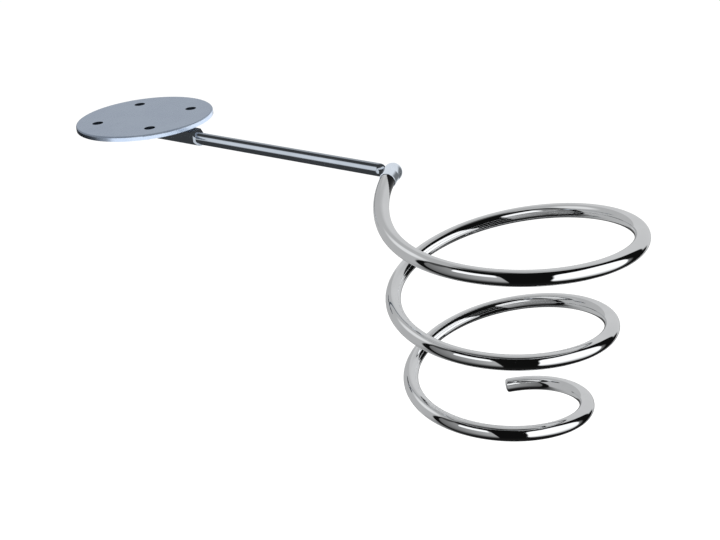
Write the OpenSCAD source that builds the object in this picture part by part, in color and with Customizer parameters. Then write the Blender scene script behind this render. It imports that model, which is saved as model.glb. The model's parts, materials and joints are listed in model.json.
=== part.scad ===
// Swivelling spiral holder for a hand-held hair dryer.
// A round plate screws up under a shelf. A straight arm turns on a stud below the middle
// of the plate, and a tapering spiral of round bar hangs from a knuckle at the arm's end.
// Frame: origin at the middle of the plate's top face, +Z up, +X along the arm at rest.
// Millimetres and degrees throughout.

/* [Mounting plate] */
// Diameter of the round plate
plate_d = 82; // [70:1:100]
// Thickness of the plate
plate_t = 3; // [2:0.5:5]
// Radius that breaks the plate's upper edge
plate_edge_r = 1; // [0.3:0.1:1.4]
// Number of screw holes
hole_count = 4; // [3:1:6]
// Pitch circle diameter of the screw holes
hole_pcd = 56; // [45:1:75]
// Diameter of each screw hole
hole_d = 6.4; // [4:0.1:8]
// Width of the bevel around each hole on the underside
hole_bevel = 0.4; // [0.1:0.1:1]
// Angle from the arm at rest to the first screw hole
hole_turn = 54; // [0:1:90]

/* [Arm pivot] */
// Diameter of the stud that the arm turns on
stud_d = 10; // [8:0.5:14]
// Radial running clearance between the stud and its bush
stud_clearance = 0.05; // [0.01:0.01:0.1]
// Outer diameter of the bush
bush_d = 12; // [10:0.5:18]
// Diameter of the swivel block's hub
hub_d = 20; // [16:0.5:26]
// Height of the hub
hub_h = 5.2; // [4:0.1:9]
// Height of the swivel block's bar
block_h = 8.7; // [8:0.1:14]
// Width of the swivel block's bar
block_w = 8.6; // [8:0.1:20]
// Distance from the pivot to the nose of the swivel block
block_l = 47; // [30:1:60]
// Size of the bevel on top of the nose
nose_bevel = 4; // [1:0.5:5]
// Radius of the nose's upright corners
nose_r = 3; // [1:0.5:4]
// Radius of the bar's long lower edges
foot_r = 4; // [1:0.5:4]
// Thickness of each nylon washer
nylon_t = 0.8; // [0.5:0.1:2]
// Thickness of the steel washer
washer_t = 0.8; // [0.5:0.1:2]
// Height of the disc spring
spring_h = 1; // [0.8:0.1:2]
// Thickness of the retaining ring
ring_t = 1; // [0.8:0.1:1.5]

/* [Arm] */
// Distance from the pivot to the knuckle
arm_l = 190; // [150:1:260]
// Diameter of the arm rod
rod_d = 7; // [6:0.5:10]
// Length of rod held inside the swivel block
rod_grip = 28; // [15:1:32]
// Diameter of the rod's turned-down end
spigot_d = 5; // [4:0.1:6]
// Depth to which the rod enters the block at full diameter
rod_seat = 5; // [2:0.5:6]
// Diameter of the grub screws that hold the rod
grub_d = 3; // [3:0.5:5]
// Length of the grub screws
grub_l = 1.5; // [1.2:0.1:3]

/* [Knuckle] */
// Diameter of the ball-shaped knuckle
ball_d = 10; // [9:0.5:16]
// Diameter of the knuckle pin
pin_d = 3; // [2:0.5:5]
// Thickness of the tongue at the end of the arm rod
tongue_t = 2.6; // [2:0.1:4]
// Width of the tongue
tongue_w = 5.8; // [5:0.1:7]
// Thickness of each nylon shim
shim_t = 0.5; // [0.3:0.1:1]
// Furthest turn of the spiral clockwise from rest
turn_min = -15; // [-20:1:0]
// Furthest turn of the spiral anticlockwise from rest
turn_max = 90; // [0:1:160]

/* [Spiral] */
// Diameter of the bar
bar_d = 8; // [6:0.5:12]
// Radius of the spiral at the top, to the bar's middle
coil_r = 72; // [55:1:90]
// Loss of radius in the first turn
coil_taper = 11.5; // [0:0.5:16]
// How much of that loss fades away with each turn
coil_taper_ease = 0.5; // [0:0.1:2]
// Drop in the first turn
coil_pitch = 54; // [30:1:70]
// How much of that drop fades away with each turn
coil_pitch_ease = 0.8; // [0:0.1:3]
// Number of turns
coil_turns = 2.79; // [2:0.005:4]
// Share of the loss of radius by which the turns move towards the mount
coil_drift = 0.8; // [0:0.05:1]
// Lean of the spiral around the arm's axis
coil_lean = 3; // [-5:0.5:5]
// Height by which the front of the last turn is bent up
last_lift = 2; // [0:0.5:4]
// Direction of the knuckle from the middle of the top turn
start_a = 194.5; // [180:0.5:210]
// Inward sweep of the bar where it meets the knuckle
lead_in_r = 6; // [0:0.5:8]
// Extra drop of the bar just past the knuckle
lead_in_drop = 6.5; // [0:0.5:12]

/* [Hidden] */
$fn = 96;
// Gap between flat faces that turn on each other, and the cut that passes a face
gap = 0.05;
cut = 1;

// Heights under the plate, from the top of the stack down
stud_root_d = 8;
stud_root_h = 1.8;
block_top = -(plate_t + nylon_t + gap);
hub_bottom = block_top - hub_h;
lower_nylon_top = hub_bottom - gap;
washer_top = lower_nylon_top - nylon_t;
spring_top = washer_top - washer_t;
ring_top = spring_top - spring_h;
stud_end = ring_top - ring_t - 0.6;
stud_bevel = 0.5;
groove_d = stud_d - 0.8;
upper_nylon_d = 24;
lower_nylon_d = 18;
washer_d = 16;
spring_d = 15;
spring_plate_t = 0.6;
ring_d = 15.4;
ring_mouth = 7.8;
slip = 0.2;

// Arm
rod_wall = 0.7;
arm_z = block_top - block_h + rod_d / 2 + rod_wall;
block_step_x = 11.5;
grub_x = [26, 37];
grub_socket_d = 1.7;
grub_socket_depth = 1;
rod_ball_gap = 0.35;
rod_end_x = arm_l - ball_d / 2 - rod_ball_gap - rod_d / 2;

// Knuckle
slot_h = tongue_t + 2 * shim_t + 4 * gap;
slot_r = tongue_w / 2 + 0.2;
slot_way = tongue_w + 0.2;
pin_clearance = 0.05;
pin_foot = -4.4;
pin_head = 3.6;
shim_d = 5.6;
bar_gap = 3.8;
bore_clearance = 0.12;
braze_r = bar_d / 2 + 0.5;
braze_near = 3.4;
braze_far = 8.6;
braze_bevel = 0.35;

// Spiral: t counts turns from the knuckle down
lead_in_r_span = 0.14;
lead_in_drop_span = 0.1;
last_lift_t = 2.3;
last_lift_span = 0.2;
start_r = coil_r - lead_in_r;
bar_start = bar_gap / (2 * PI * start_r);
bar_rings = 230;
bar_sides = 20;
tip_r = 1.2;
tip_steps = 4;

function fade(t, span) = exp(-pow(t / span, 2));
function shrink(t) = coil_taper * t - coil_taper_ease * t * t;
function turn_r(t) = coil_r - shrink(t) - lead_in_r * fade(t, lead_in_r_span);
function turn_a(t) = start_a + 360 * t;
function drop(t) =
    coil_pitch * t - coil_pitch_ease * t * t
    + lead_in_drop * (1 - fade(t, lead_in_drop_span))
    - last_lift * fade(t - last_lift_t, last_lift_span);

// Middle of the bar, seen from the knuckle, before the spiral leans.
// The turns shrink towards the side that faces the mount.
function upright_point(t) = [
    turn_r(t) * cos(turn_a(t)) - start_r * cos(start_a) - coil_drift * shrink(t),
    turn_r(t) * sin(turn_a(t)) - start_r * sin(start_a),
    -drop(t)
];

// Middle of the bar
function bar_point(t) =
    let (p = upright_point(t))
    [
        arm_l + p[0],
        p[1] * cos(coil_lean) - p[2] * sin(coil_lean),
        arm_z + p[1] * sin(coil_lean) + p[2] * cos(coil_lean)
    ];

function unit(v) = v / norm(v);
function bar_way(t) = unit(bar_point(t + 0.0005) - bar_point(t - 0.0005));

// One ring of corners around the bar, square to its run
function bar_ring(p, way, r) =
    let (side = unit(cross([0, 0, 1], way)), up = cross(way, side))
    [for (i = [0:bar_sides - 1])
        let (a = 360 * i / bar_sides) p + r * cos(a) * side + r * sin(a) * up];

// The free end is rounded: ring radii shrink over the last stretch
function tip_ring(i) =
    let (a = 90 * i / tip_steps, way = bar_way(coil_turns))
    bar_ring(
        bar_point(coil_turns) + tip_r * sin(a) * way,
        way,
        bar_d / 2 - tip_r * (1 - cos(a))
    );

first_way = bar_way(bar_start);
first_heading = atan2(first_way[1], first_way[0]);
first_slope = asin(-first_way[2]);

// Flat ring standing on z
module washer(outer, inner, t, z) {
    translate([0, 0, z])
        difference() {
            cylinder(d = outer, h = t);
            translate([0, 0, -cut])
                cylinder(d = inner, h = t + 2 * cut);
        }
}

// Moves to the knuckle's middle
module at_knuckle() {
    translate([arm_l, 0, arm_z])
        children();
}

// Turns +Z along the first stretch of the bar, measured from the knuckle's middle
module along_bar() {
    at_knuckle()
        rotate([0, 90 + first_slope, first_heading])
            children();
}

module mounting_plate() {
    r = plate_d / 2;
    color([0.66, 0.69, 0.74])
        difference() {
            rotate_extrude()
                union() {
                    translate([0, -plate_t])
                        square([r - plate_edge_r, plate_t]);
                    translate([0, -plate_t])
                        square([r, plate_t - plate_edge_r]);
                    translate([r - plate_edge_r, -plate_edge_r])
                        circle(plate_edge_r);
                }
            for (i = [0:hole_count - 1])
                rotate([0, 0, hole_turn + 360 * i / hole_count])
                    translate([hole_pcd / 2, 0, 0])
                        screw_hole();
            translate([0, 0, -plate_t - cut])
                cylinder(d = stud_root_d, h = stud_root_h + cut);
        }
}

// Screw hole through the plate, bevelled on the underside
module screw_hole() {
    wide = hole_d + 2 * hole_bevel;
    translate([0, 0, -plate_t - cut])
        cylinder(d = hole_d, h = plate_t + 2 * cut);
    translate([0, 0, -plate_t - 0.01])
        cylinder(d1 = wide + 0.02, d2 = hole_d, h = hole_bevel + 0.01);
}

module pivot_stud() {
    color([0.55, 0.56, 0.58])
        difference() {
            union() {
                translate([0, 0, -plate_t])
                    cylinder(d = stud_root_d, h = stud_root_h);
                translate([0, 0, stud_end + stud_bevel])
                    cylinder(d = stud_d, h = -plate_t - stud_end - stud_bevel);
                translate([0, 0, stud_end])
                    cylinder(d1 = stud_d - 2 * stud_bevel, d2 = stud_d, h = stud_bevel);
            }
            washer(stud_d + 2 * cut, groove_d, ring_t + 2 * gap, ring_top - ring_t - gap);
        }
}

module upper_nylon_washer() {
    color([0.9, 0.9, 0.86])
        washer(upper_nylon_d, stud_d + 2 * slip, nylon_t, -plate_t - nylon_t);
}

module lower_nylon_washer() {
    color([0.9, 0.9, 0.86])
        washer(lower_nylon_d, stud_d + 2 * slip, nylon_t, washer_top);
}

module steel_washer() {
    color([0.7, 0.7, 0.72])
        washer(washer_d, stud_d + 2 * slip, washer_t, spring_top);
}

// Conical disc, resting on its outer edge above and its inner edge below
module disc_spring() {
    inner = stud_d / 2 + slip;
    rise = spring_h - spring_plate_t;
    color([0.5, 0.5, 0.52])
        translate([0, 0, ring_top])
            rotate_extrude()
                polygon([
                    [inner, 0],
                    [spring_d / 2, rise],
                    [spring_d / 2, spring_h],
                    [inner, spring_plate_t]
                ]);
}

// Open ring that snaps into the stud's groove
module retaining_ring() {
    relief_r = 1.4;
    color([0.42, 0.42, 0.45])
        difference() {
            washer(ring_d, groove_d, ring_t, ring_top - ring_t);
            translate([0, -ring_mouth / 2, ring_top - ring_t - cut])
                cube([ring_d, ring_mouth, ring_t + 2 * cut]);
            for (a = [110, 250])
                rotate([0, 0, a])
                    translate([groove_d / 2, 0, ring_top - ring_t - cut])
                        cylinder(r = relief_r, h = ring_t + 2 * cut);
        }
}

// Outline of the block seen from above: round hub, straight bar, rounded nose
module block_outline() {
    circle(d = hub_d);
    translate([0, -block_w / 2])
        square([block_l - nose_r, block_w]);
    translate([0, nose_r - block_w / 2])
        square([block_l, block_w - 2 * nose_r]);
    for (s = [-1, 1])
        translate([block_l - nose_r, s * (block_w / 2 - nose_r)])
            circle(nose_r);
}

// Outline of the block seen from the side: thin hub, deep bar, bevelled nose
module block_profile() {
    foot = block_top - block_h;
    polygon([
        [-hub_d, block_top],
        [block_l - nose_bevel, block_top],
        [block_l, block_top - nose_bevel],
        [block_l, foot],
        [block_step_x, foot],
        [block_step_x, hub_bottom],
        [-hub_d, hub_bottom]
    ]);
}

// Outline of the block seen from the end: flat hub on top, bar with a rounded foot below
module block_end() {
    foot = block_top - block_h;
    side = block_w / 2 - foot_r;
    translate([-hub_d, hub_bottom])
        square([2 * hub_d, hub_h + cut]);
    translate([-block_w / 2, foot + foot_r])
        square([block_w, block_h - foot_r]);
    translate([-side, foot])
        square([2 * side, block_h]);
    for (s = [-1, 1])
        translate([s * side, foot + foot_r])
            circle(foot_r);
}

module grub_holes() {
    for (x = grub_x)
        translate([x, 0, arm_z])
            rotate([-90, 0, 0])
                cylinder(d = grub_d, h = block_w);
}

module swivel_block() {
    color([0.8, 0.82, 0.85])
        difference() {
            intersection() {
                translate([0, 0, block_top - block_h])
                    linear_extrude(block_h)
                        block_outline();
                translate([0, hub_d, 0])
                    rotate([90, 0, 0])
                        linear_extrude(2 * hub_d)
                            block_profile();
                translate([-hub_d, 0, 0])
                    rotate([90, 0, 90])
                        linear_extrude(block_l + 2 * hub_d)
                            block_end();
            }
            translate([0, 0, hub_bottom - cut])
                cylinder(d = bush_d, h = hub_h + 2 * cut);
            translate([block_l - rod_grip, 0, arm_z])
                rotate([0, 90, 0])
                    cylinder(d = spigot_d, h = rod_grip);
            translate([block_l - rod_seat, 0, arm_z])
                rotate([0, 90, 0])
                    cylinder(d = rod_d, h = rod_seat + cut);
            grub_holes();
        }
}

module pivot_bush() {
    color([0.72, 0.55, 0.3])
        washer(bush_d, stud_d + 2 * stud_clearance, hub_h, hub_bottom);
}

// Rod with a thinner end in the block and, past its round end, a flat tongue with an eye
module arm_rod() {
    start = block_l - rod_seat;
    color([0.8, 0.82, 0.85])
        difference() {
            union() {
                translate([block_l - rod_grip, 0, arm_z])
                    rotate([0, 90, 0])
                        cylinder(d = spigot_d, h = rod_grip);
                translate([start, 0, arm_z])
                    rotate([0, 90, 0])
                        cylinder(d = rod_d, h = rod_end_x - start);
                translate([rod_end_x, 0, arm_z])
                    sphere(d = rod_d);
                translate([rod_end_x, -tongue_w / 2, arm_z - tongue_t / 2])
                    cube([arm_l - rod_end_x, tongue_w, tongue_t]);
                translate([arm_l, 0, arm_z - tongue_t / 2])
                    cylinder(d = tongue_w, h = tongue_t);
            }
            at_knuckle()
                translate([0, 0, -rod_d])
                    cylinder(d = pin_d + 2 * pin_clearance, h = 2 * rod_d);
        }
}

// Two socket-headed grub screws in the far side of the block
module grub_screws() {
    color([0.4, 0.4, 0.43])
        for (x = grub_x)
            translate([x, spigot_d / 2, arm_z])
                rotate([-90, 0, 0])
                    difference() {
                        cylinder(d = grub_d, h = grub_l);
                        translate([0, 0, grub_l - grub_socket_depth])
                            cylinder(d = grub_socket_d, h = grub_socket_depth + cut, $fn = 6);
                    }
}

// Space in which the tongue swings, as the spiral sees it
module tongue_slot() {
    margin = 2;
    step = 11;
    first = 180 - turn_max - margin;
    last = 180 - turn_min + margin;
    count = ceil((last - first) / step);
    translate([0, 0, -slot_h / 2])
        linear_extrude(slot_h)
            union() {
                circle(slot_r);
                for (i = [0:count])
                    rotate(first + (last - first) * i / count)
                        translate([0, -slot_way / 2])
                            square([ball_d, slot_way]);
            }
}

// Ball with a slot for the tongue, a blind bore for the pin and a flat for the bar
module knuckle_fork() {
    color([0.8, 0.82, 0.85])
        difference() {
            at_knuckle()
                sphere(d = ball_d);
            at_knuckle()
                tongue_slot();
            at_knuckle()
                translate([0, 0, -ball_d])
                    cylinder(d = pin_d, h = ball_d + pin_head);
            along_bar()
                translate([0, 0, bar_gap])
                    cylinder(d = ball_d, h = ball_d);
        }
}

module knuckle_pin() {
    color([0.55, 0.56, 0.58])
        at_knuckle()
            translate([0, 0, pin_foot])
                cylinder(d = pin_d, h = pin_head - pin_foot);
}

module knuckle_shims() {
    inner = tongue_t / 2 + gap;
    color([0.9, 0.9, 0.86])
        at_knuckle()
            for (z = [inner, -inner - shim_t])
                washer(shim_d, pin_d + 4 * pin_clearance, shim_t, z);
}

// Brazed collar around the top end of the bar, seated on the ball
module braze_ring() {
    ball_r = ball_d / 2;
    bore_r = bar_d / 2 + bore_clearance;
    from_ball = gap;
    steps = 4;
    color([0.8, 0.82, 0.85])
        along_bar()
            rotate_extrude()
                polygon(concat(
                    [for (i = [0:steps])
                        let (s = braze_near + (bar_gap - braze_near) * i / steps)
                        [sqrt(pow(ball_r + from_ball, 2) - s * s), s]],
                    [
                        [bore_r, bar_gap],
                        [bore_r, braze_far],
                        [bar_d / 2 + bore_clearance + 0.1, braze_far],
                        [braze_r, braze_far - braze_bevel],
                        [braze_r, braze_near]
                    ]
                ));
}

// Round bar swept down the spiral, with a rounded free end
module coil_bar() {
    run = [for (i = [0:bar_rings])
        let (t = bar_start + (coil_turns - bar_start) * i / bar_rings)
        bar_ring(bar_point(t), bar_way(t), bar_d / 2)];
    rings = concat(run, [for (i = [1:tip_steps]) tip_ring(i)]);
    count = len(rings);
    last = (count - 1) * bar_sides;
    color([0.8, 0.82, 0.85])
        polyhedron(
            points = [for (ring = rings) each ring],
            faces = concat(
                [[for (i = [0:bar_sides - 1]) i]],
                [for (k = [0:count - 2], i = [0:bar_sides - 1])
                    let (a = k * bar_sides, j = (i + 1) % bar_sides)
                    [a + i, a + bar_sides + i, a + bar_sides + j, a + j]],
                [[for (i = [bar_sides - 1:-1:0]) last + i]]
            ),
            convexity = 10
        );
}

mounting_plate();
pivot_stud();
upper_nylon_washer();
lower_nylon_washer();
steel_washer();
disc_spring();
retaining_ring();
swivel_block();
pivot_bush();
arm_rod();
grub_screws();
knuckle_fork();
knuckle_pin();
knuckle_shims();
braze_ring();
coil_bar();
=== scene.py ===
"""Looks for the swivelling spiral hair dryer holder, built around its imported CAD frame.

Everything is in metres, in the frame of the CAD part: origin in the middle of the plate's top
face, +Z up, +X along the arm at rest.
"""
import json
import math

import bmesh
import bpy
from mathutils import Matrix, Vector


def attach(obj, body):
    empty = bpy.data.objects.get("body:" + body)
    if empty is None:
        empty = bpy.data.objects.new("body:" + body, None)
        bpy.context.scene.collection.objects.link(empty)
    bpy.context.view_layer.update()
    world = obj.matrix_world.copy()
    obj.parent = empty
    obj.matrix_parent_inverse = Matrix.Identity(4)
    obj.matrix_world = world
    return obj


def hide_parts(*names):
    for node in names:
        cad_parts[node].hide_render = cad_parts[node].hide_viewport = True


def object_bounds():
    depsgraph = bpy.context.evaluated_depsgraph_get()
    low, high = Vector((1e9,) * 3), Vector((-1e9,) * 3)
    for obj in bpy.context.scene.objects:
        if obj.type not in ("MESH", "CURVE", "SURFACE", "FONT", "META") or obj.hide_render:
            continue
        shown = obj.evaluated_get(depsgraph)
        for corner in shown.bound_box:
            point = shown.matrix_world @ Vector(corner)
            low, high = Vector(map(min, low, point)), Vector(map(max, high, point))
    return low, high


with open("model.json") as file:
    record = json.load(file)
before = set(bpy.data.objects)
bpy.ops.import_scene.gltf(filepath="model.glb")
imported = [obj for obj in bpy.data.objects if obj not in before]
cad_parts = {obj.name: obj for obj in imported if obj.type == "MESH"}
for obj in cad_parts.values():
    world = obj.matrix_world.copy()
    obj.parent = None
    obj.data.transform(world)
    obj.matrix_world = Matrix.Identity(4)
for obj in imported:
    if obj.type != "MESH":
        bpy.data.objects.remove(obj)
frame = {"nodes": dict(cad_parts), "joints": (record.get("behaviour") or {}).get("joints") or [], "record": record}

cad_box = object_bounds()

# ---------------------------------------------------------------- sizes shared with the CAD part
KNUCKLE = next(Vector(j["pos_m"]) for j in frame["joints"] if j["name"] == "spiral_swivel")
BAR_R = 0.004
COIL_R = 0.072
COIL_TAPER = 0.0115
COIL_TAPER_EASE = 0.0005
COIL_PITCH = 0.054
COIL_PITCH_EASE = 0.0008
COIL_TURNS = 2.79
COIL_DRIFT = 0.8
COIL_LEAN = 3.0
LAST_LIFT = 0.002
LAST_LIFT_T = 2.3
LAST_LIFT_SPAN = 0.2
START_ANGLE = 194.5
LEAD_IN_R = 0.006
LEAD_IN_R_SPAN = 0.14
LEAD_IN_DROP = 0.0065
LEAD_IN_DROP_SPAN = 0.10
BAR_GAP = 0.0038
TIP_R = 0.0012
HALF_PLATE_T = 0.0015
HOLES = next(m for m in frame["record"]["mounts"] if m["name"] == "shelf_screws")["dims"]
HOLE_TURN = 54.0
HOLE_WALL_R = math.hypot(HOLES["hole_r_mm"] / 1000, HALF_PLATE_T)

# Painted reflection on the bar: a row of shrinking dark spots, with places and steps in turns of the spiral.
# It copies a dark reflection seen from this scene's camera, and the side constant below is that
# camera's horizontal right-hand direction, so the painted reflection is placed for that view. It copies a
# dark mark in the photo that is probably a reflection, and PAINTED_REFLECTION_SIDE is the horizontal
# right-hand direction of this scene's camera, so the patch is placed for that view.
PAINTED_REFLECTION_SPOTS = 9
PAINTED_REFLECTION_START = 0.020
PAINTED_REFLECTION_STEP = 0.0045
PAINTED_REFLECTION_R = 0.0055
PAINTED_REFLECTION_SHRINK = 0.0006
PAINTED_REFLECTION_SIDE = Vector((0.743, 0.669, 0.0))

# ---------------------------------------------------------------- camera and studio
CAM_LENS = 70.0
CAM_SENSOR = 36.0
CAM_AIM = Vector((0.2016, -0.0458, -0.0437))
CAM_DISTANCE = 0.700
CAM_AZIMUTH = 42.016
CAM_ELEVATION = 22.526
CAM_ROLL = -5.827
FLOOR_DROP = 0.30
FLOOR_R = 7.0


# ================================================================ node helpers
def new_tree(name):
    """A new material with an empty node tree, its tree and its principled shader."""
    mat = bpy.data.materials.new(name)
    mat.use_nodes = True
    tree = mat.node_tree
    tree.nodes.clear()
    out = tree.nodes.new("ShaderNodeOutputMaterial")
    shader = tree.nodes.new("ShaderNodeBsdfPrincipled")
    tree.links.new(shader.outputs["BSDF"], out.inputs["Surface"])
    return mat, tree, shader


def math_node(tree, operation, a, b=0.0, clamp=False):
    """A Math node whose inputs are numbers or sockets."""
    node = tree.nodes.new("ShaderNodeMath")
    node.operation = operation
    node.use_clamp = clamp
    for slot, value in zip(node.inputs, (a, b)):
        if isinstance(value, (int, float)):
            slot.default_value = value
        else:
            tree.links.new(value, slot)
    return node.outputs[0]


def place(tree, stretch=(1, 1, 1)):
    """Object coordinates, stretched along the axes."""
    coords = tree.nodes.new("ShaderNodeTexCoord")
    mapping = tree.nodes.new("ShaderNodeMapping")
    mapping.inputs["Scale"].default_value = stretch
    tree.links.new(coords.outputs["Object"], mapping.inputs["Vector"])
    return mapping.outputs["Vector"]


def noise(tree, vector, scale, detail=3.0, rough=0.5):
    node = tree.nodes.new("ShaderNodeTexNoise")
    node.inputs["Scale"].default_value = scale
    node.inputs["Detail"].default_value = detail
    node.inputs["Roughness"].default_value = rough
    tree.links.new(vector, node.inputs["Vector"])
    return node.outputs["Fac"]


def ramp(tree, value, low, high, from_low=0.0, from_high=1.0):
    """A Map Range node, smooth at both ends."""
    node = tree.nodes.new("ShaderNodeMapRange")
    node.interpolation_type = "SMOOTHSTEP"
    node.inputs["From Min"].default_value = from_low
    node.inputs["From Max"].default_value = from_high
    node.inputs["To Min"].default_value = low
    node.inputs["To Max"].default_value = high
    tree.links.new(value, node.inputs["Value"])
    return node.outputs["Result"]


def blend_colour(tree, factor, first, second):
    """Mixes two colours. Each is a tuple or a socket."""
    node = tree.nodes.new("ShaderNodeMix")
    node.data_type = "RGBA"
    slots = [s for s in node.inputs if s.type == "RGBA"]
    for slot, value in zip(slots, (first, second)):
        if isinstance(value, tuple):
            slot.default_value = (*value, 1.0)
        else:
            tree.links.new(value, slot)
    if isinstance(factor, (int, float)):
        node.inputs["Factor"].default_value = factor
    else:
        tree.links.new(factor, node.inputs["Factor"])
    return next(s for s in node.outputs if s.type == "RGBA")


def bump(tree, shader, height, strength, distance):
    node = tree.nodes.new("ShaderNodeBump")
    node.inputs["Strength"].default_value = strength
    node.inputs["Distance"].default_value = distance
    tree.links.new(height, node.inputs["Height"])
    tree.links.new(node.outputs["Normal"], shader.inputs["Normal"])


# ================================================================ materials
def hole_middles():
    """Middles of the plate's screw holes, half way through the plate."""
    reach, count = HOLES["pcd_mm"] / 2000, HOLES["count"]
    turns = [math.radians(HOLE_TURN + 360 * i / count) for i in range(count)]
    return [(reach * math.cos(a), reach * math.sin(a), -HALF_PLATE_T) for a in turns]


def near_points(tree, spots, blur):
    """1 within the radius of any of the (middle, radius) spots, fading out over blur."""
    coords = tree.nodes.new("ShaderNodeTexCoord")
    nearest = 1.0
    for middle, radius in spots:
        apart = tree.nodes.new("ShaderNodeVectorMath")
        apart.operation = "DISTANCE"
        apart.inputs[1].default_value = middle
        tree.links.new(coords.outputs["Object"], apart.inputs[0])
        beyond = math_node(tree, "SUBTRACT", apart.outputs["Value"], radius)
        nearest = math_node(tree, "MINIMUM", beyond, nearest)
    return ramp(tree, nearest, 1.0, 0.0, 0.0, blur)


def chrome(name, colour, smudge, dull, painted_reflection=()):
    """Bright chrome plate: near-mirror, with faint waviness, haze, marks and, where spots are given, a painted
    dark reflection.
    """
    mat, tree, shader = new_tree(name)
    at = place(tree)
    haze = noise(tree, at, 38.0, 4.0, 0.6)
    marks = noise(tree, at, 260.0, 2.0, 0.5)
    tint = ramp(tree, haze, 0.0, 1.0, 0.3, 0.7)
    shaded = tuple(c * smudge for c in colour)
    skin = blend_colour(tree, tint, shaded, colour)
    # Painted reflection: where spots are given, a dark patch is laid into the base colour.
    if painted_reflection:
        dark = near_points(tree, painted_reflection, 0.0003)
        skin = blend_colour(tree, dark, skin, (0.012, 0.012, 0.014))
    tree.links.new(skin, shader.inputs["Base Color"])
    soft = ramp(tree, haze, dull[0], dull[1], 0.35, 0.75)
    specks = ramp(tree, marks, 0.0, 0.04, 0.62, 0.8)
    tree.links.new(math_node(tree, "ADD", soft, specks, True), shader.inputs["Roughness"])
    shader.inputs["Metallic"].default_value = 1.0
    ripple = noise(tree, at, 90.0, 2.0, 0.4)
    bump(tree, shader, ripple, 0.08, 0.0002)
    return mat


def satin_plate():
    """Satin plated steel, bluish, with cloudy patches, a fine grain and painted shade on the hole walls, nearly
    black.
    """
    mat, tree, shader = new_tree("satin_plate_look")
    at = place(tree)
    cloud = noise(tree, at, 42.0, 4.0, 0.6)
    grain = noise(tree, place(tree, (1.0, 6.0, 1.0)), 900.0, 3.0, 0.6)
    tint = ramp(tree, cloud, 0.0, 1.0, 0.3, 0.7)
    face = blend_colour(tree, tint, (0.57, 0.67, 0.84), (0.67, 0.77, 0.92))
    # Painted shade: the hole walls are coloured nearly black, where shade falls inside the holes.
    painted_hole_shade = blend_colour(tree, tint, (0.012, 0.018, 0.028), (0.030, 0.040, 0.055))
    wall = near_points(tree, [(m, HOLE_WALL_R) for m in hole_middles()], 0.0001)
    tree.links.new(blend_colour(tree, wall, face, painted_hole_shade), shader.inputs["Base Color"])
    base = ramp(tree, cloud, 0.22, 0.34, 0.3, 0.7)
    fine = ramp(tree, grain, -0.03, 0.03)
    rough = math_node(tree, "ADD", base, fine, True)
    worn = math_node(tree, "MULTIPLY", wall, 0.3)
    tree.links.new(math_node(tree, "ADD", rough, worn, True), shader.inputs["Roughness"])
    shader.inputs["Metallic"].default_value = 1.0
    bump(tree, shader, grain, 0.12, 0.0001)
    return mat


def turned_steel(name, low, high):
    """Steel with turning rings around the pivot's axis."""
    mat, tree, shader = new_tree(name)
    at = place(tree)
    rings = tree.nodes.new("ShaderNodeTexWave")
    rings.wave_type = "RINGS"
    rings.rings_direction = "Z"
    rings.inputs["Scale"].default_value = 900.0
    rings.inputs["Distortion"].default_value = 0.6
    tree.links.new(at, rings.inputs["Vector"])
    cloud = noise(tree, at, 300.0, 3.0)
    tint = ramp(tree, cloud, 0.0, 1.0, 0.3, 0.7)
    tree.links.new(blend_colour(tree, tint, low, high), shader.inputs["Base Color"])
    tree.links.new(ramp(tree, cloud, 0.24, 0.42), shader.inputs["Roughness"])
    shader.inputs["Metallic"].default_value = 1.0
    bump(tree, shader, rings.outputs["Fac"], 0.25, 0.00005)
    return mat


def bronze():
    """Sintered bronze with open pores."""
    mat, tree, shader = new_tree("bronze_look")
    at = place(tree)
    pores = noise(tree, at, 2600.0, 2.0)
    cloud = noise(tree, at, 220.0, 3.0)
    tint = ramp(tree, cloud, 0.0, 1.0, 0.3, 0.7)
    tree.links.new(
        blend_colour(tree, tint, (0.50, 0.31, 0.13), (0.74, 0.52, 0.26)),
        shader.inputs["Base Color"],
    )
    tree.links.new(ramp(tree, pores, 0.55, 0.35, 0.3, 0.5), shader.inputs["Roughness"])
    shader.inputs["Metallic"].default_value = 1.0
    bump(tree, shader, pores, 0.4, 0.00005)
    return mat


def nylon():
    """Natural nylon, slightly greasy, with a moulded grain."""
    mat, tree, shader = new_tree("nylon_look")
    at = place(tree)
    cloud = noise(tree, at, 160.0, 3.0)
    grain = noise(tree, at, 3000.0, 2.0)
    tint = ramp(tree, cloud, 0.0, 1.0, 0.3, 0.7)
    tree.links.new(
        blend_colour(tree, tint, (0.72, 0.70, 0.62), (0.86, 0.85, 0.80)),
        shader.inputs["Base Color"],
    )
    tree.links.new(ramp(tree, grain, 0.42, 0.58), shader.inputs["Roughness"])
    shader.inputs["Subsurface Weight"].default_value = 0.1
    shader.inputs["Subsurface Radius"].default_value = (0.001, 0.001, 0.0008)
    bump(tree, shader, grain, 0.15, 0.00005)
    return mat


# ================================================================ pieces
def fade(t, span):
    return math.exp(-((t / span) ** 2))


def bar_middle(t):
    """Middle of the spiral's bar, t turns below the knuckle."""
    start = math.radians(START_ANGLE)
    start_r = COIL_R - LEAD_IN_R
    shrink = COIL_TAPER * t - COIL_TAPER_EASE * t * t
    r = COIL_R - shrink - LEAD_IN_R * fade(t, LEAD_IN_R_SPAN)
    a = start + 2 * math.pi * t
    drop = (
        COIL_PITCH * t - COIL_PITCH_EASE * t * t
        + LEAD_IN_DROP * (1 - fade(t, LEAD_IN_DROP_SPAN))
        - LAST_LIFT * fade(t - LAST_LIFT_T, LAST_LIFT_SPAN)
    )
    upright = Vector((
        r * math.cos(a) - start_r * math.cos(start) - COIL_DRIFT * shrink,
        r * math.sin(a) - start_r * math.sin(start),
        -drop,
    ))
    return KNUCKLE + Matrix.Rotation(math.radians(COIL_LEAN), 3, "X") @ upright


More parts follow.
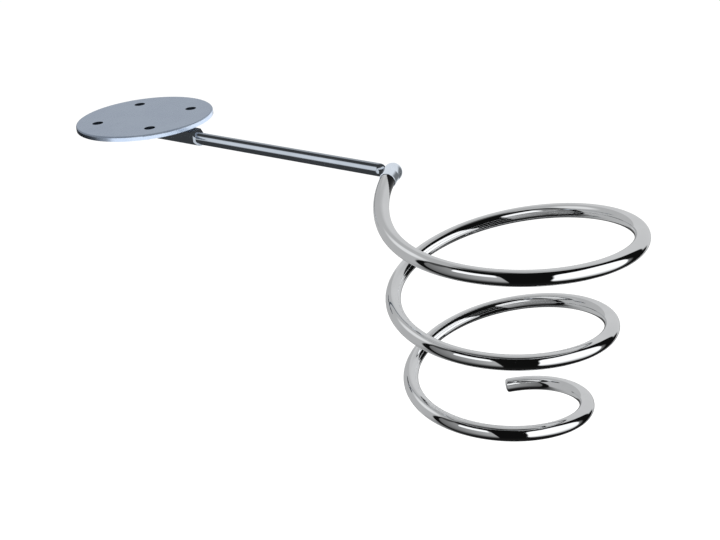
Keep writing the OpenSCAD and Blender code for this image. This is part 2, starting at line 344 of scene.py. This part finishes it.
def bar_way(t):
    return (bar_middle(t + 0.0005) - bar_middle(t - 0.0005)).normalized()


def painted_reflection_spots():
    """Spots of a painted dark reflection: a wedge on the side of the bar that this scene's camera sees, by the
    collar.
    """
    spots = []
    for i in range(PAINTED_REFLECTION_SPOTS):
        t = PAINTED_REFLECTION_START + PAINTED_REFLECTION_STEP * i
        way = bar_way(t)
        side = (PAINTED_REFLECTION_SIDE - PAINTED_REFLECTION_SIDE.dot(way) * way).normalized()
        spots.append((tuple(bar_middle(t) + BAR_R * side), PAINTED_REFLECTION_R - PAINTED_REFLECTION_SHRINK * i))
    return spots


def new_object(name, mesh, material, body):
    """Adds a mesh as an object that rides on a body and carries the given material."""
    piece = bpy.data.objects.new(name, mesh)
    bpy.context.scene.collection.objects.link(piece)
    piece.data.materials.clear()
    piece.data.materials.append(material)
    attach(piece, body)
    return piece


def spiral_bar(material):
    """The round bar as one smooth skin, with a neck at the knuckle and a rounded free end."""
    rings, sides, tip_steps = 900, 40, 10
    first = BAR_GAP / (2 * math.pi * (COIL_R - LEAD_IN_R))
    stations = []
    for i in range(rings + 1):
        t = first + (COIL_TURNS - first) * i / rings
        stations.append((bar_middle(t), bar_way(t), BAR_R))
    way = bar_way(COIL_TURNS)
    for i in range(1, tip_steps + 1):
        a = 0.5 * math.pi * i / tip_steps
        stations.append((
            bar_middle(COIL_TURNS) + TIP_R * math.sin(a) * way,
            way,
            BAR_R - TIP_R * (1 - math.cos(a)),
        ))
    mesh = bmesh.new()
    loops = []
    for middle, run, r in stations:
        side = Vector((0, 0, 1)).cross(run).normalized()
        up = run.cross(side)
        loops.append([
            mesh.verts.new(middle + r * (math.cos(b) * side + math.sin(b) * up))
            for b in (2 * math.pi * k / sides for k in range(sides))
        ])
    for a, b in zip(loops, loops[1:]):
        for k in range(sides):
            j = (k + 1) % sides
            mesh.faces.new((a[k], a[j], b[j], b[k])).smooth = True
    mesh.faces.new(list(reversed(loops[0])))
    mesh.faces.new(loops[-1])
    bmesh.ops.recalc_face_normals(mesh, faces=mesh.faces)
    data = bpy.data.meshes.new("spiral_bar")
    mesh.to_mesh(data)
    mesh.free()
    piece = new_object("spiral_bar", data, material, "spiral")
    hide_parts("coil_bar")
    return piece


# ================================================================ studio
def panel(tree, turn, rise, below, plan):
    """Lays one panel of the studio wall over the brightness below it."""
    middle, half, softness, power, brightness, slope, taper = plan
    across = math_node(tree, "DIVIDE", math_node(tree, "SUBTRACT", turn, middle[0]), half[0])
    along = math_node(tree, "DIVIDE", math_node(tree, "SUBTRACT", rise, middle[1]), half[1])
    if taper:
        narrowing = math_node(tree, "SUBTRACT", 1.0, math_node(tree, "MULTIPLY", along, taper))
        across = math_node(tree, "DIVIDE", across, narrowing)
    spread = math_node(
        tree, "ADD",
        math_node(tree, "POWER", math_node(tree, "ABSOLUTE", across), power),
        math_node(tree, "POWER", math_node(tree, "ABSOLUTE", along), power),
    )
    inside = ramp(tree, spread, 1.0, 0.0, 1.0 - softness, 1.0 + softness)
    if any(slope):
        gain = math_node(
            tree, "ADD",
            math_node(tree, "MULTIPLY", across, slope[0]),
            math_node(tree, "MULTIPLY", along, slope[1]),
        )
        graded = math_node(tree, "MULTIPLY", math_node(tree, "ADD", gain, 1.0), brightness)
        brightness = math_node(tree, "MINIMUM", graded, BRIGHTEST)
    more = math_node(tree, "SUBTRACT", brightness, below)
    return math_node(tree, "ADD", below, math_node(tree, "MULTIPLY", inside, more))


# Each dome is what glossy pieces see of the studio, from back to front: middle and half size
# of a panel in degrees (turn from the dome's front, rise above the horizon), softness, corner
# power, brightness, how much brighter it gets to its right and to its top, and how much it
# narrows to its top. The spiral has a dome of its own, as in a separate exposure, and so have
# the plate and the knuckle. The panels were placed until the reflections seen by this
# scene's camera came close to the photo's. They aren't a real studio, and they say nothing about
# what the object reflects from other sides.
BRIGHTEST = 1.15
DOMES = {
    "spiral_light": {
        "radius": 4.0,
        "front": -32.0,
        "tint": (0.985, 0.992, 1.0),
        "base": 0.46,
        "panels": [
            ((142.0, 8.0), (46.0, 44.0), 0.6, 3.0, 0.61, (0, 0), 0),
            ((-122.0, 44.0), (24.0, 14.0), 0.8, 2.0, 0.80, (0, 0), 0),
            ((158.0, -34.0), (26.0, 18.0), 0.5, 2.0, 0.06, (0, 0), 0),
            ((0.0, 90.0), (400.0, 14.0), 0.6, 2.0, 0.10, (0, 0), 0),
            ((5.0, -62.0), (124.0, 50.0), 0.3, 2.5, 0.006, (0, 0), 0),
            ((104.0, -43.0), (19.0, 33.0), 0.3, 2.5, 0.006, (0, 0), 0),
            ((2.0, 0.0), (102.0, 83.0), 0.12, 8.0, 0.005, (0, 0), 0.1),
            ((-57.5, -6.0), (33.0, 54.0), 0.12, 6.0, 0.28, (0.5, 0.2), 0),
            ((-86.0, 50.0), (11.0, 16.0), 0.3, 2.0, 0.06, (0, 0), 0),
            ((-46.5, 33.0), (19.0, 12.5), 0.25, 8.0, 1.1, (0, 0), 0),
            ((64.0, -20.0), (25.0, 26.0), 0.5, 3.0, 0.18, (0, 0), 0.25),
            ((47.0, -2.0), (34.0, 42.0), 0.15, 4.0, 1.35, (0, 0.4), 0.15),
            ((0.0, -90.0), (180.0, 53.0), 0.8, 2.0, 0.006, (0, 0), 0),
            ((0.0, -90.0), (400.0, 33.0), 0.6, 2.0, 0.01, (0, 0), 0),
        ],
    },
    "mount_light": {
        "radius": 5.0,
        "front": -20.0,
        "tint": (0.90, 0.95, 1.0),
        "base": 0.05,
        "panels": [
            ((152.0, 5.0), (26.0, 40.0), 0.5, 2.0, 0.42, (0, 0), 0),
            ((-113.0, 22.0), (26.0, 26.0), 0.6, 2.0, 0.75, (0, 0), 0),
            ((0.0, 0.0), (88.0, 52.0), 0.2, 3.0, 0.72, (0, 0), 0),
        ],
    },
    "plate_light": {
        "radius": 6.0,
        "front": -20.0,
        "tint": (0.97, 0.985, 1.0),
        "base": 0.30,
        "panels": [
            ((152.0, 20.0), (50.0, 40.0), 0.5, 2.0, 0.49, (0, 0), 0),
            ((25.0, -22.0), (112.0, 30.0), 0.1, 6.0, 1.15, (0, 0), 0),
            ((198.0, -32.0), (50.0, 28.0), 0.3, 6.0, 0.02, (0, 0), 0),
            ((-162.0, -32.0), (50.0, 28.0), 0.3, 6.0, 0.02, (0, 0), 0),
        ],
    },
    "knuckle_light": {
        "radius": 7.0,
        "front": -20.0,
        "tint": (0.93, 0.965, 1.0),
        "base": 0.88,
        "panels": [
            ((75.0, -20.0), (45.0, 50.0), 0.6, 2.0, 0.2, (0, 0), 0),
        ],
    },
}


def studio_dome(name, pieces):
    """A large glowing dome that only the named pieces reflect, and that nothing else sees."""
    plan = DOMES[name]
    mat = bpy.data.materials.new(name)
    mat.use_nodes = True
    tree = mat.node_tree
    tree.nodes.clear()
    coords = tree.nodes.new("ShaderNodeTexCoord")
    aim = tree.nodes.new("ShaderNodeVectorMath")
    aim.operation = "NORMALIZE"
    tree.links.new(coords.outputs["Object"], aim.inputs[0])
    turned = tree.nodes.new("ShaderNodeMapping")
    turned.inputs["Rotation"].default_value = (0, 0, math.radians(-plan["front"]))
    tree.links.new(aim.outputs["Vector"], turned.inputs["Vector"])
    parts = tree.nodes.new("ShaderNodeSeparateXYZ")
    tree.links.new(turned.outputs["Vector"], parts.inputs["Vector"])
    turn = math_node(tree, "MULTIPLY", math_node(
        tree, "ARCTAN2", parts.outputs["Y"], parts.outputs["X"]), 180 / math.pi)
    rise = math_node(tree, "MULTIPLY", math_node(
        tree, "ARCSINE", parts.outputs["Z"]), 180 / math.pi)
    level = plan["base"]
    for one in plan["panels"]:
        level = panel(tree, turn, rise, level, one)
    glow = tree.nodes.new("ShaderNodeEmission")
    glow.inputs["Color"].default_value = (*plan["tint"], 1.0)
    tree.links.new(level, glow.inputs["Strength"])
    clear = tree.nodes.new("ShaderNodeBsdfTransparent")
    both = tree.nodes.new("ShaderNodeAddShader")
    tree.links.new(glow.outputs["Emission"], both.inputs[0])
    tree.links.new(clear.outputs["BSDF"], both.inputs[1])
    out = tree.nodes.new("ShaderNodeOutputMaterial")
    tree.links.new(both.outputs["Shader"], out.inputs["Surface"])
    mat.cycles.emission_sampling = "NONE"

    mesh = bmesh.new()
    bmesh.ops.create_icosphere(mesh, subdivisions=4, radius=plan["radius"])
    data = bpy.data.meshes.new(name)
    mesh.to_mesh(data)
    mesh.free()
    dome = bpy.data.objects.new(name, data)
    dome.location = CAM_AIM
    dome.data.materials.append(mat)
    dome.visible_camera = False
    dome.visible_diffuse = False
    dome.visible_transmission = False
    dome.visible_volume_scatter = False
    dome.visible_shadow = False
    bpy.context.scene.collection.objects.link(dome)
    lit = bpy.data.collections.new(name)
    for piece in pieces:
        lit.objects.link(piece)
    dome.light_linking.receiver_collection = lit


def studio_world():
    """Even white surroundings, which glossy pieces don't reflect: they reflect their dome."""
    world = bpy.data.worlds.new("studio")
    world.use_nodes = True
    bpy.context.scene.world = world
    tree = world.node_tree
    tree.nodes.clear()
    black = tree.nodes.new("ShaderNodeBackground")
    black.inputs["Color"].default_value = (0, 0, 0, 1)
    white = tree.nodes.new("ShaderNodeBackground")
    white.inputs["Color"].default_value = (1, 1, 1, 1)
    white.inputs["Strength"].default_value = 1.05
    path = tree.nodes.new("ShaderNodeLightPath")
    mix = tree.nodes.new("ShaderNodeMixShader")
    tree.links.new(path.outputs["Is Glossy Ray"], mix.inputs["Fac"])
    tree.links.new(white.outputs["Background"], mix.inputs[1])
    tree.links.new(black.outputs["Background"], mix.inputs[2])
    out = tree.nodes.new("ShaderNodeOutputWorld")
    tree.links.new(mix.outputs["Shader"], out.inputs["Surface"])


def studio_floor():
    """Plain pale floor well below the object, left out of its reflections."""
    mat, tree, shader = new_tree("pale_floor")
    shade = ramp(tree, noise(tree, place(tree), 0.8, 2.0), 0.0, 1.0)
    tree.links.new(
        blend_colour(tree, shade, (0.95, 0.95, 0.95), (0.97, 0.97, 0.97)),
        shader.inputs["Base Color"],
    )
    shader.inputs["Roughness"].default_value = 0.9
    shader.inputs["Specular IOR Level"].default_value = 0.0
    mesh = bmesh.new()
    bmesh.ops.create_circle(mesh, cap_ends=True, radius=FLOOR_R, segments=96)
    data = bpy.data.meshes.new("floor")
    mesh.to_mesh(data)
    mesh.free()
    floor = bpy.data.objects.new("floor", data)
    floor.location = (CAM_AIM.x, CAM_AIM.y, cad_box[0][2] - FLOOR_DROP)
    floor.data.materials.append(mat)
    floor.visible_glossy = False
    bpy.context.scene.collection.objects.link(floor)


def studio_key():
    """One large soft light from above, left out of reflections."""
    data = bpy.data.lights.new("key", "AREA")
    data.shape = "DISK"
    data.size = 1.2
    data.energy = 9.0
    key = bpy.data.objects.new("key", data)
    key.location = (CAM_AIM.x + 0.3, CAM_AIM.y - 0.5, 1.2)
    key.rotation_euler = (CAM_AIM - key.location).to_track_quat("-Z", "Y").to_euler()
    key.visible_glossy = False
    bpy.context.scene.collection.objects.link(key)


def studio_camera():
    az, el, roll = (math.radians(a) for a in (CAM_AZIMUTH, CAM_ELEVATION, CAM_ROLL))
    look = Vector((-math.sin(az) * math.cos(el), math.cos(az) * math.cos(el), -math.sin(el)))
    level = look.cross(Vector((0, 0, 1))).normalized()
    rise = level.cross(look)
    right = math.cos(roll) * level + math.sin(roll) * rise
    up = math.cos(roll) * rise - math.sin(roll) * level
    data = bpy.data.cameras.new("camera")
    data.lens = CAM_LENS
    data.sensor_width = CAM_SENSOR
    data.clip_start = 0.01
    data.dof.use_dof = False
    camera = bpy.data.objects.new("camera", data)
    axes = Matrix((right, up, -look)).transposed().to_4x4()
    camera.matrix_world = Matrix.Translation(CAM_AIM - CAM_DISTANCE * look) @ axes
    bpy.context.scene.collection.objects.link(camera)
    bpy.context.scene.camera = camera


# ================================================================ the scene
studio_camera()
studio_world()
studio_floor()
studio_key()
bpy.context.scene.view_settings.view_transform = "Standard"

# The bright chrome carries the painted dark reflection on the spiral's bar, by the collar.
bright = chrome("chrome_look", (0.93, 0.94, 0.95), 0.93, (0.015, 0.05), painted_reflection_spots())
bluish = chrome("chrome_arm_look", (0.80, 0.84, 0.90), 0.90, (0.08, 0.15))
looks = {
    "satin_plate": satin_plate(),
    "chrome": bluish,
    "plain_steel": turned_steel("zinc_look", (0.46, 0.48, 0.50), (0.62, 0.63, 0.65)),
    "spring_steel": turned_steel("dark_look", (0.10, 0.10, 0.11), (0.20, 0.20, 0.21)),
    "bronze": bronze(),
    "nylon": nylon(),
}
slots = {s["node"]: s["material_slot"] for s in frame["record"]["subparts"]}
for node, piece in frame["nodes"].items():
    for i in range(len(piece.material_slots)):
        piece.material_slots[i].material = looks[slots[node]]

bar = spiral_bar(bright)
studio_dome("spiral_light", [bar])
own_light = {
    "mounting_plate": "plate_light",
    "knuckle_fork": "knuckle_light",
    "knuckle_pin": "knuckle_light",
    "braze_ring": "knuckle_light",
}
for name in ("mount_light", "plate_light", "knuckle_light"):
    studio_dome(name, [
        piece for node, piece in frame["nodes"].items()
        if own_light.get(node, "mount_light") == name
    ])
